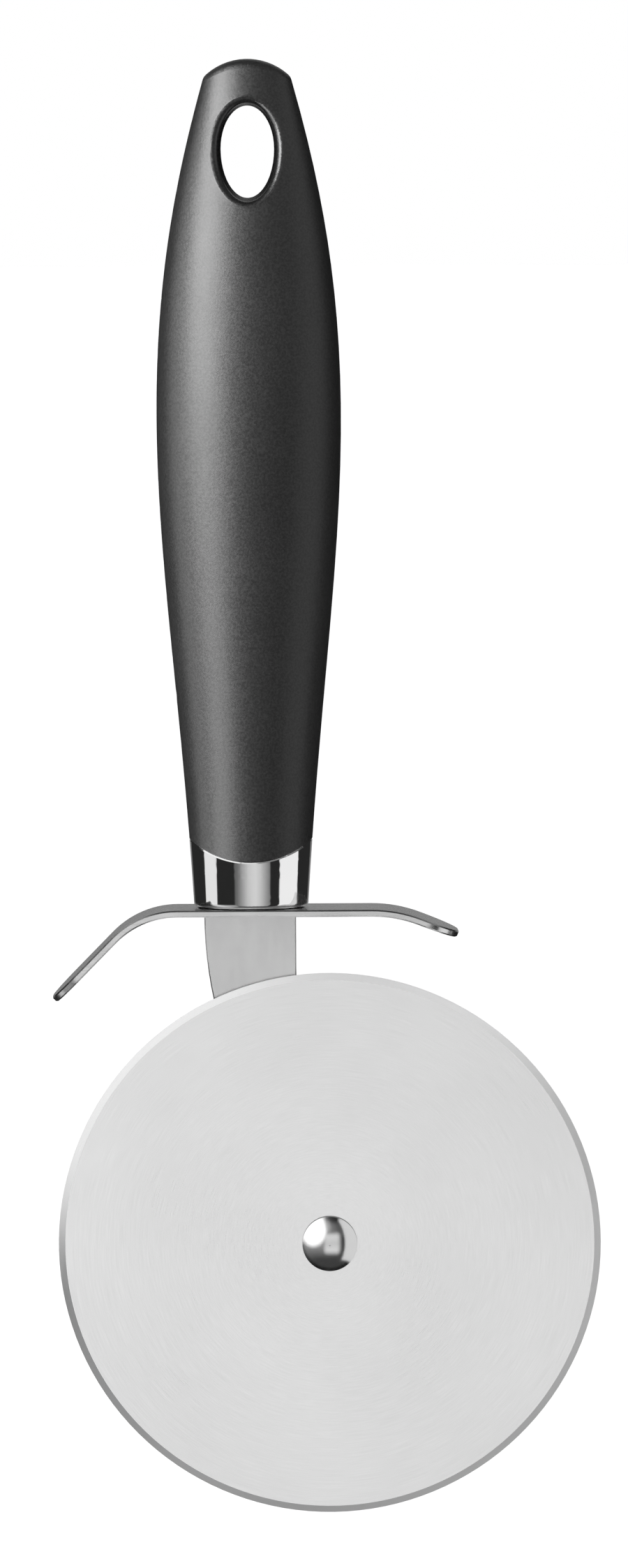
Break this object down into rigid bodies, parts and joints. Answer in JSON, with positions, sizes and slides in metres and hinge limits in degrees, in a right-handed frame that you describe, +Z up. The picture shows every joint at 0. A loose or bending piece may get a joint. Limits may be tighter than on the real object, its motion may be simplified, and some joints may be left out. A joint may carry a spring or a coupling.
{
  "type": "pizza cutter wheel",
  "caption": "Pizza cutter with an oval black grip and hanging hole, chromed ferrule, bent steel thumb guard, offset steel arm and a freely turning bevelled wheel.",
  "frame": {"origin": "centre of the hanging hole in the handle, halfway between front and back", "axes": "+Z up along the handle as the cutter hangs, wheel at the bottom; the front, with the wheel before its arm, faces -Y; +X to the right seen from the front, the side that the pivot is set off to"},
  "size_m": [0.0959, 0.0216, 0.2548],
  "materials": {
    "grip": "fine-grained soft-touch black",
    "core": "smooth moulded black",
    "ferrule_chrome": "mirror-bright plating",
    "plate_steel": "satin stamped stainless sheet",
    "wheel_steel": "fine satin stainless, ground bevel",
    "rivet_steel": "polished stainless",
    "washer_steel": "plain stainless"
  },
  "bodies": {
    "cutter_handle": {"handle_grip": "grip", "handle_core": "core", "ferrule": "ferrule_chrome", "thumb_guard": "plate_steel", "wheel_arm": "plate_steel", "pivot_rivet": "rivet_steel", "front_washer": "washer_steel", "spacer_washer": "washer_steel", "back_washer": "washer_steel"},
    "wheel": {"cutting_wheel": "wheel_steel"}
  },
  "joints": [
    {"name": "wheel_spin", "type": "hinge", "parent": "cutter_handle", "child": "wheel", "pos_m": [0.0135, -0.00195, -0.1911], "axis": [0, 1, 0], "continuous": true}
  ]
}
